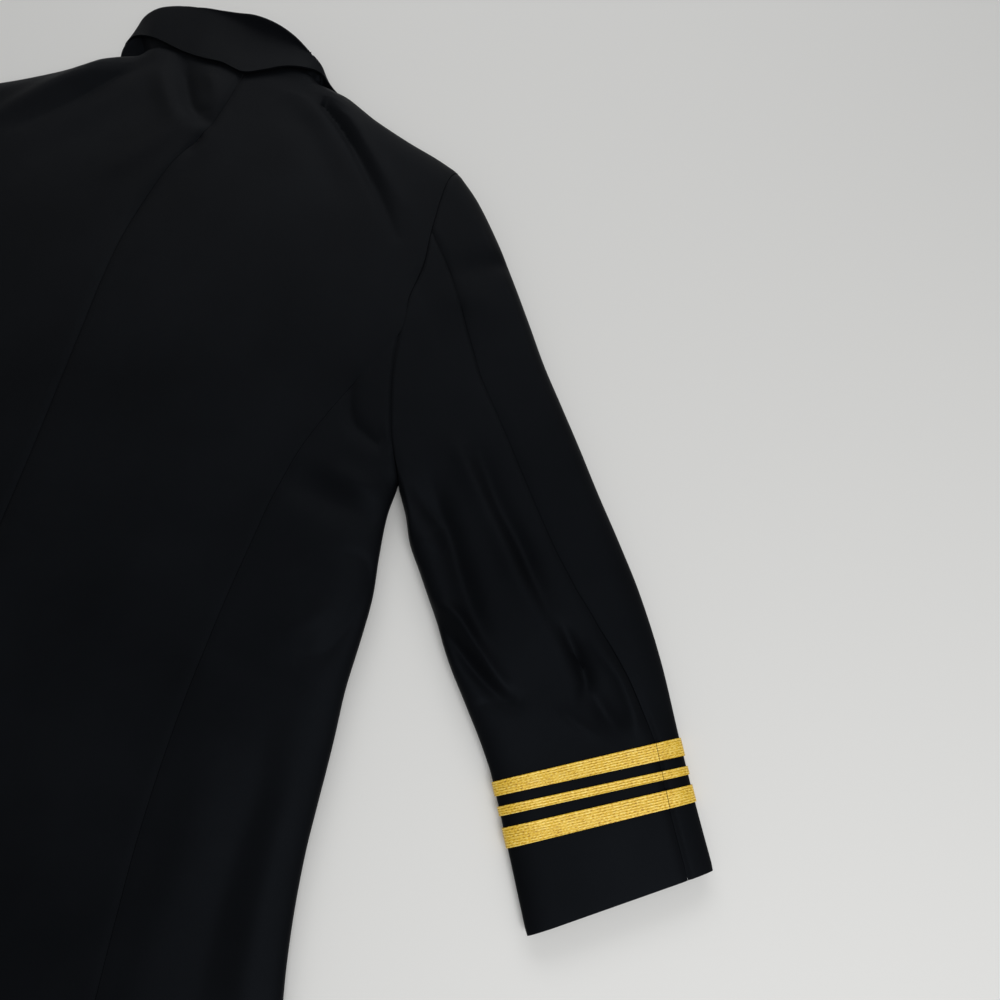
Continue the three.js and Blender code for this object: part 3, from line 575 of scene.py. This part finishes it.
TOP_PARTS = [(1, HIND_SEAM, 0), (-1, 0, FRONT_SEAM)]
UNDER_PARTS = [(1, HIND_SEAM, UNDERARM), (-1, UNDERARM, FRONT_SEAM)]
SLEEVE_SEAMS = (0.8, 0.3, 1, 1)
for half, side in (("right", 1), ("left", -1)):
    for name, parts, turned in (("top_sleeve", TOP_PARTS, 1), ("under_sleeve", UNDER_PARTS, -1)):
        grid = sleeve_strip(side, half, parts)
        outward = flip(grid) if side == turned else grid
        pieces[f"{name}_{half}"] = sew(f"{name}_{half}_sheet", outward, SLEEVE_SEAMS)
    print("sleeve", half, len(pieces[f"top_sleeve_{half}"].data.polygons), "faces in its top piece")

# %% [markdown]
# ## The collar
# The collar is one band folded along its length: the stand rises from the neck seam to the fold,
# and the leaf comes down outside it. Its sections turn from facing up at the back of the neck to
# facing down at the front, where the leaf lies under the chest.

# %% The collar
# fold, free edge of the leaf, neck seam, how far the leaf sags behind its fold
COLLAR_BACK = {
    "right": [
        ((0, 60, 52), (0, 0), (0, 15), 4), ((22, 58, 54), (25, -8), (21, 15.5), 6.5),
        ((44, 54, 52), (46, -1), (42, 15.5), 6.5), ((64, 47.5, 47), (66, 8), (61, 15.5), 5),
        ((80, 39, 41), (86, 12), (77, 15.5), 3),
    ],
    "left": [
        ((0, 60, 52), (0, 0), (0, 15), 4), ((24, 61.5, 51), (23, 2), (21, 15.5), 2),
        ((48, 61.5, 50), (47, 8), (42, 15.5), 1), ((72, 60, 48), (70, 15), (61, 15.5), 0),
        ((94, 56.5, 44), (92, 22), (77, 15.5), 0),
    ],
}
COLLAR_SIDE = {
    "right": [((93, 31, 33), (101, 17, 31), (89, 17, 27)), ((99, 25, 25), (112, 11, 21), (94, 16, 20))],
    "left": [((110, 48, 36), (117, 29, 30), (89, 16.5, 28)), ((112, 36, 26), (130, 19, 21), (95, 16, 20))],
}
COLLAR_FRONT = [
    (10, 17, (132, -3), 0.55), (-12, 11, (136, -26), 0), (-36, 9, (132, -56), 0),
    (-60, 8, (124, -84), 0), (-80, 8, (117, -103), 0),
]


LEAF_CLEAR, SEAM_UNDER = 3, 4.5


def section(fold, leaf, seam, out, sag=0.0):
    """Middle line of one section, from the neck seam over the fold to the leaf's free edge."""
    fold, leaf, seam, out = (np.array(p, float) for p in (fold, leaf, seam, out))
    out *= 1.35 / np.linalg.norm(out)
    down = np.array([0, 0, -sag])
    return [
        seam, seam * 0.45 + fold * 0.55 + 1.5 * down, seam * 0.1 + fold * 0.9 - out + 1.2 * down, fold,
        leaf * (0.07 + 0.014 * sag) + fold * (0.93 - 0.014 * sag) + out + 1.15 * down,
        (leaf + fold) / 2 + 0.6 * out + down, leaf,
    ]


def collar_sections(side, half):
    layer = 0 if side < 0 else 2 * LAYER
    rows = []
    for fold, leaf, seam, sag in COLLAR_BACK[half]:
        (leaf_x, leaf_y), (seam_x, seam_y) = leaf, seam
        lies_on = body_top(np.array([leaf_x, seam_x], float), np.array([leaf_y, seam_y], float), half)
        leaf_end = (leaf_x, leaf_y, float(lies_on[0]) + LEAF_CLEAR)
        seam_end = (seam_x, seam_y, float(lies_on[1]) - SEAM_UNDER)
        rows.append(section(fold, leaf_end, seam_end, (0, 0.25, 1), sag))
    for i, (fold, leaf, seam) in enumerate(COLLAR_SIDE[half]):
        rows.append(section(fold, leaf, seam, (0.8, 0.3, 0.5 - 0.5 * i)))
    for y, fold, leaf, drop in COLLAR_FRONT:
        x = float(roll_line(y))
        front = float(front_bottom(np.array([x]), np.array([float(y)]), side)[0])
        leaf_z = (layer + 1.15) * (1 - drop) + float(back_height(leaf[1])) / 2 * drop
        fold_z = (layer + 2.4) * (1 - drop) + fold * drop
        seam_z = max(front + 1.2, layer + 4)
        seam_end = (x - 2.4, y, seam_z)
        rows.append(section((x - 7, y, fold_z), (*leaf, leaf_z), seam_end, (0.35, 0.1, -1)))
    return np.array(rows) * np.array([side, 1, 1])


left, right = collar_sections(-1, "left"), collar_sections(1, "right")
stations = np.concatenate([left[::-1][:-1], right])
count = len(stations)
along = np.linspace(0, count - 1, 150)
by_station = np.stack([spline(stations[:, j], along) for j in range(stations.shape[1])], axis=1)
over = np.concatenate([np.linspace(0, 2, 10)[:-1], np.linspace(2, 4, 13)[:-1], np.linspace(4, 6, 16)])
collar_grid = np.stack([spline(by_station[i], over) for i in range(len(along))], axis=0)
collar_face = collar_grid + grid_normals(collar_grid) * WALL / 2
collar_face[..., 2] = np.maximum(collar_face[..., 2], 0.1)
pieces["collar"] = sheet_object("collar_sheet", collar_face)
print("collar", len(pieces["collar"].data.polygons), "faces")

# %% [markdown]
# ## The gold lace
# Cuff lace is a flat woven band with ribs along it and a beaded edge. The bands follow the sleeve,
# so they are made from its own points, moved out, and their ends meet at the hind-arm seam.

# %% Lace bands
LACE_CLEAR, LACE_THICK, LACE_RIBS = 0.35, 0.9, 7


def lace_grid(side, half, part):
    """Outer face of a band. Rows run across it, with a small rise at each rib and edge."""
    ribs = LACE_RIBS if part != "middle" else 4
    start, end = BRAID[part]
    across = np.linspace(0, 1, ribs * 6 + 1)
    ring = BRAID_RING + start + (end - start) * across
    whole = [(1, HIND_SEAM, 0), (-1, 0, UNDERARM), (1, UNDERARM, HIND_SEAM)]
    tube = sleeve_strip(side, half, whole, ring)
    n = grid_normals(tube)
    if np.sum(n[..., 2] * (tube[..., 2] - 9)) < 0:
        n = -n
    edges = np.exp(-across * 30) + np.exp(-(1 - across) * 30)
    rib = 0.09 * np.abs(np.sin(np.pi * ribs * across)) + 0.05 * edges
    return tube + n * (LACE_CLEAR + LACE_THICK - 0.1 + rib[:, None, None])


for half, side in (("right", 1), ("left", -1)):
    for part in BRAID:
        grid = inset(lace_grid(side, half, part), 0.2)
        n = grid_normals(grid)
        if np.sum(n[..., 2] * (grid[..., 2] - 9)) < 0:
            grid = flip(grid)
        pieces[f"braid_{part}_{half}"] = sheet_object(f"braid_{part}_{half}_band", grid, wall=LACE_THICK)
print("lace bands:", sum(name.startswith("braid") for name in pieces))

# %% [markdown]
# ## The buttons
# Six domed shank buttons sit under the left front. Such a button is round all over, so a list of
# rings gives its shape: a small disc is added once, and each ring is extruded from the one before
# it and scaled to its own radius. Subdivision rounds it, and the other five are copies.

# %% Buttons
# radius and height of each ring, from the dome's crown to the shank's end
BUTTON_RINGS = [
    (0.3, 0.0), (3.0, 0.15), (6.0, 0.75), (8.5, 1.9), (10.4, 3.4), (11.2, 4.4), (11.5, 5.0),
    (11.4, 5.5), (10.8, 5.8), (4.0, 5.8), (3.5, 6.1), (3.5, 8.1), (0.3, 8.1),
]
BUTTON_SIDES = 24
BUTTON_ROWS, BUTTON_COLUMNS = (-475, -570, -665), (-60, 60)


def swept_button():
    bpy.ops.object.select_all(action="DESELECT")
    radius, height = BUTTON_RINGS[0]
    bpy.ops.mesh.primitive_circle_add(
        vertices=BUTTON_SIDES, radius=radius * MM, fill_type="NGON", location=(0, 0, height * MM))
    made = bpy.context.object
    bpy.ops.object.transform_apply(location=True, rotation=False, scale=False)
    bpy.ops.object.mode_set(mode="EDIT")
    bpy.ops.mesh.select_all(action="SELECT")
    for (before, low), (after, high) in zip(BUTTON_RINGS[:-1], BUTTON_RINGS[1:]):
        bpy.ops.mesh.extrude_region_move(TRANSFORM_OT_translate={"value": (0, 0, (high - low) * MM)})
        share = after / before
        bpy.ops.transform.resize(value=(share, share, 1), center_override=(0, 0, high * MM))
    bpy.ops.mesh.select_all(action="SELECT")
    bpy.ops.mesh.remove_doubles(threshold=1e-6)
    bpy.ops.mesh.normals_make_consistent(inside=False)
    bpy.ops.object.mode_set(mode="OBJECT")
    rounding = made.modifiers.new("rounding", "SUBSURF")
    rounding.levels = rounding.render_levels = 1
    bpy.ops.object.modifier_apply(modifier=rounding.name)
    bpy.ops.object.shade_smooth()
    return made


def copied_button(name, x, y):
    copy = bpy.data.objects.new(name, first_button.data.copy())
    copy.data.transform(Matrix.Translation((x * MM, y * MM, 0)))
    bpy.context.scene.collection.objects.link(copy)
    return copy


first_button = swept_button()
for row, y in enumerate(BUTTON_ROWS, 1):
    for column, x in enumerate(BUTTON_COLUMNS, 1):
        name = f"button_{row}_{column}"
        pieces[name] = copied_button(name + "_dome", x, y - MIDDLE_Y)
bpy.data.objects.remove(first_button)
print("buttons:", sum(name.startswith("button") for name in pieces))

# %% [markdown]
# ## The wool
# Worsted is woven as a fine twill: diagonal ribs less than a millimetre apart. From where one
# stands they only soften the light, so they are bump, read from the object's own coordinates. A
# sheen gives the pale bloom that wool has where the light grazes it, and a few specks are lint.

# %% Wool material
def node(tree, kind, inputs=None, **values):
    made = tree.nodes.new(kind)
    for name, value in values.items():
        setattr(made, name, value)
    for name, value in (inputs or {}).items():
        if isinstance(value, bpy.types.NodeSocket):
            tree.links.new(value, made.inputs[name])
        else:
            made.inputs[name].default_value = value
    return made


def material(name):
    made = bpy.data.materials.new(name)
    made.use_nodes = True
    tree = made.node_tree
    return made, tree, tree.nodes["Principled BSDF"]


def add(tree, first, second):
    return node(tree, "ShaderNodeMath", {0: first, 1: second}, operation="ADD")


def multiply(tree, first, second):
    return node(tree, "ShaderNodeMath", {0: first, 1: second}, operation="MULTIPLY")


def wool_material():
    made, tree, shader = material("wool")
    where = node(tree, "ShaderNodeTexCoord").outputs["Object"]
    turned = node(tree, "ShaderNodeMapping", {"Vector": where, "Rotation": (0, 0, math.radians(58))})
    twill = node(tree, "ShaderNodeTexWave", {
        "Vector": turned.outputs[0], "Scale": 420.0, "Distortion": 0.6})
    nap = node(tree, "ShaderNodeTexNoise", {"Vector": where, "Scale": 900.0, "Detail": 3.0})
    cloud = node(tree, "ShaderNodeTexNoise", {"Vector": where, "Scale": 9.0, "Detail": 4.0})
    weave = add(tree, twill.outputs["Fac"], nap.outputs["Fac"])
    bump = node(tree, "ShaderNodeBump", {"Height": weave.outputs[0], "Strength": 0.22, "Distance": 0.0004})
    speck = node(tree, "ShaderNodeTexVoronoi", {"Vector": where, "Scale": 46.0})
    speck_size = node(tree, "ShaderNodeMapRange", {
        "Value": speck.outputs["Distance"],
        "From Min": 0.012, "From Max": 0.03, "To Min": 1.0, "To Max": 0.0})
    rare = node(tree, "ShaderNodeSeparateColor", {"Color": speck.outputs["Color"]})
    chosen = node(tree, "ShaderNodeMath", {0: rare.outputs[0], 1: 0.93}, operation="GREATER_THAN")
    lint = multiply(tree, speck_size.outputs[0], chosen.outputs[0])
    tone = node(tree, "ShaderNodeValToRGB", {"Fac": cloud.outputs["Fac"]})
    tone.color_ramp.elements[0].color = (0.0019, 0.0021, 0.0026, 1)
    tone.color_ramp.elements[0].position = 0.3
    tone.color_ramp.elements[1].color = (0.0034, 0.0038, 0.0047, 1)
    tone.color_ramp.elements[1].position = 0.7
    # on a colour mix, sockets 6 and 7 are the two colours, and output 2 is the mixed one
    flecked = node(tree, "ShaderNodeMix", {0: lint.outputs[0]}, data_type="RGBA")
    tree.links.new(tone.outputs["Color"], flecked.inputs[6])
    flecked.inputs[7].default_value = (0.12, 0.12, 0.13, 1)
    tree.links.new(flecked.outputs[2], shader.inputs["Base Color"])
    tree.links.new(bump.outputs[0], shader.inputs["Normal"])
    shader.inputs["Roughness"].default_value = 0.55
    shader.inputs["Specular IOR Level"].default_value = 0.065
    shader.inputs["Specular Tint"].default_value = (0.70, 0.82, 1.0, 1)
    shader.inputs["Sheen Weight"].default_value = 0.008
    shader.inputs["Sheen Roughness"].default_value = 0.35
    shader.inputs["Sheen Tint"].default_value = (0.75, 0.82, 1.0, 1)
    return made


wool = wool_material()
print("wool made")

# %% [markdown]
# ## The lace and the gilt
# The lace is metal thread over silk: its ribs run along the band and tiny beads of thread cross
# them. Its own middle gold carries painted glints on the thread and painted shade along the ribs and
# between threads.

# %% Lace and gilt materials
def lace_material():
    made, tree, shader = material("lace")
    uv = node(tree, "ShaderNodeUVMap", uv_map="cloth").outputs[0]
    ribs = node(tree, "ShaderNodeTexWave", {"Vector": uv, "Scale": 173.0, "Distortion": 0.0},
                bands_direction="Y")
    thread = node(tree, "ShaderNodeMapping", {"Vector": uv, "Scale": (520, 1500, 1)})
    # pale spots of this noise are painted glints of the metal thread; the same noise also gives the thread
    # its bump
    thread_and_painted_glint = node(tree, "ShaderNodeTexNoise", {"Vector": thread.outputs[0], "Scale": 1.0, "Detail": 2.0})
    patches = node(tree, "ShaderNodeTexNoise", {"Vector": uv, "Scale": 90.0, "Detail": 1.0})
    # painted shade: the colour goes lighter and darker with the ribs
    shade = multiply(tree, ribs.outputs["Fac"], 0.16)
    light = add(tree, thread_and_painted_glint.outputs["Fac"], shade.outputs[0])
    drift = multiply(tree, patches.outputs["Fac"], 0.22)
    total = add(tree, light.outputs[0], drift.outputs[0])
    tone = node(tree, "ShaderNodeValToRGB", {"Fac": total.outputs[0]})
    ramp = tone.color_ramp.elements
    # the middle stop is the lace's own gold; the pale stop is a painted glint and the deep stop is painted
    # shade between threads
    ramp[0].position = 0.48
    ramp[0].color = (0.40, 0.20, 0.012, 1)
    ramp[1].position = 0.9
    ramp[1].color = (1.0, 0.77, 0.21, 1)
    middle = ramp.new(0.68)
    middle.color = (0.82, 0.51, 0.026, 1)
    height = add(tree, thread_and_painted_glint.outputs["Fac"], ribs.outputs["Fac"])
    bump = node(tree, "ShaderNodeBump", {"Height": height.outputs[0], "Strength": 0.35, "Distance": 0.0003})
    tree.links.new(tone.outputs["Color"], shader.inputs["Base Color"])
    tree.links.new(bump.outputs[0], shader.inputs["Normal"])
    shader.inputs["Roughness"].default_value = 0.45
    shader.inputs["Metallic"].default_value = 0.12
    return made


def gilt_material():
    made, tree, shader = material("gilt")
    where = node(tree, "ShaderNodeTexCoord").outputs["Object"]
    rub = node(tree, "ShaderNodeTexNoise", {"Vector": where, "Scale": 240.0, "Detail": 4.0})
    rough = node(tree, "ShaderNodeMapRange", {"Value": rub.outputs["Fac"], "To Min": 0.18, "To Max": 0.42})
    tree.links.new(rough.outputs[0], shader.inputs["Roughness"])
    shader.inputs["Base Color"].default_value = (0.78, 0.52, 0.16, 1)
    shader.inputs["Metallic"].default_value = 1.0
    return made


lace, gilt = lace_material(), gilt_material()
print("lace and gilt made")

# %% [markdown]
# ## Every piece takes its place
# Each piece stands for the node of the same name, which is hidden, and rides on the one body.

CUT = {
    "back": ((0.31, 0.90), 0.222),
    "side": ((0.17, 0.60), 0.077),
    "front": ((0.38, 0.88), 0.25),
    "lapel": ((0.19, 0.40), 0.034),
    "top_sleeve": ((0.24, 0.68), 0.112),
    "under_sleeve": ((0.19, 0.62), 0.074),
    "collar": ((0.10, 0.50), 0.042),
}
for name, obj in pieces.items():
    kind = name.removesuffix("_right").removesuffix("_left")
    slot, finish = ("gilt", gilt) if kind.startswith("button") else ("wool", wool)
    if kind.startswith("braid"):
        slot, finish = "lace", lace
    obj.data.materials.clear()
    obj.data.materials.append(finish)
    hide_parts(name)
    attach(obj, "root")
    if kind in CUT:
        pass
    elif kind.startswith("braid"):
        half = name.rsplit("_", 1)[1]
print("pieces placed:", len(pieces))

# %% [markdown]
# ## The floor and the light
# A pale plain floor and broad soft lamps keep the black cloth readable: the shape shows only in
# the sheen on its folds, so the main lamp stands low enough for each fold to have a dark side.

# %% Floor, lamps and world
bpy.ops.object.select_all(action="DESELECT")
bpy.ops.mesh.primitive_plane_add(size=16, location=(0, 0, -0.0005))
floor = bpy.context.object
floor.name = "floor"
made, tree, shader = material("floor")
shader.inputs["Base Color"].default_value = (0.80, 0.80, 0.785, 1)
shader.inputs["Roughness"].default_value = 0.6
floor.data.materials.append(made)


def lamp(name, place, target, size, power):
    data = bpy.data.lights.new(name, "AREA")
    data.shape = "RECTANGLE"
    data.size, data.size_y = size
    data.energy = power
    obj = bpy.data.objects.new(name, data)
    obj.location = place
    way = np.array(target, float) - np.array(place, float)
    flat = math.hypot(way[0], way[1])
    obj.rotation_euler = (math.atan2(flat, -way[2]), 0, math.atan2(-way[0], way[1]))
    bpy.context.scene.collection.objects.link(obj)


lamp("window", (-0.3, 2.6, 1.8), (0.1, 0.1, 0), (3.2, 1.3), 31)
lamp("ceiling", (1.1, -1.0, 1.6), (0.55, -0.35, 0), (1.1, 1.1), 21)
world = bpy.data.worlds.new("world")
bpy.context.scene.world = world
world.use_nodes = True
world.node_tree.nodes["Background"].inputs["Color"].default_value = (1.0, 1.0, 1.0, 1)
world.node_tree.nodes["Background"].inputs["Strength"].default_value = 0.26
bpy.context.scene.view_settings.view_transform = "Standard"

# %% [markdown]
# ## The end
# The scene is finished here.

# %% Finish
print("finished")
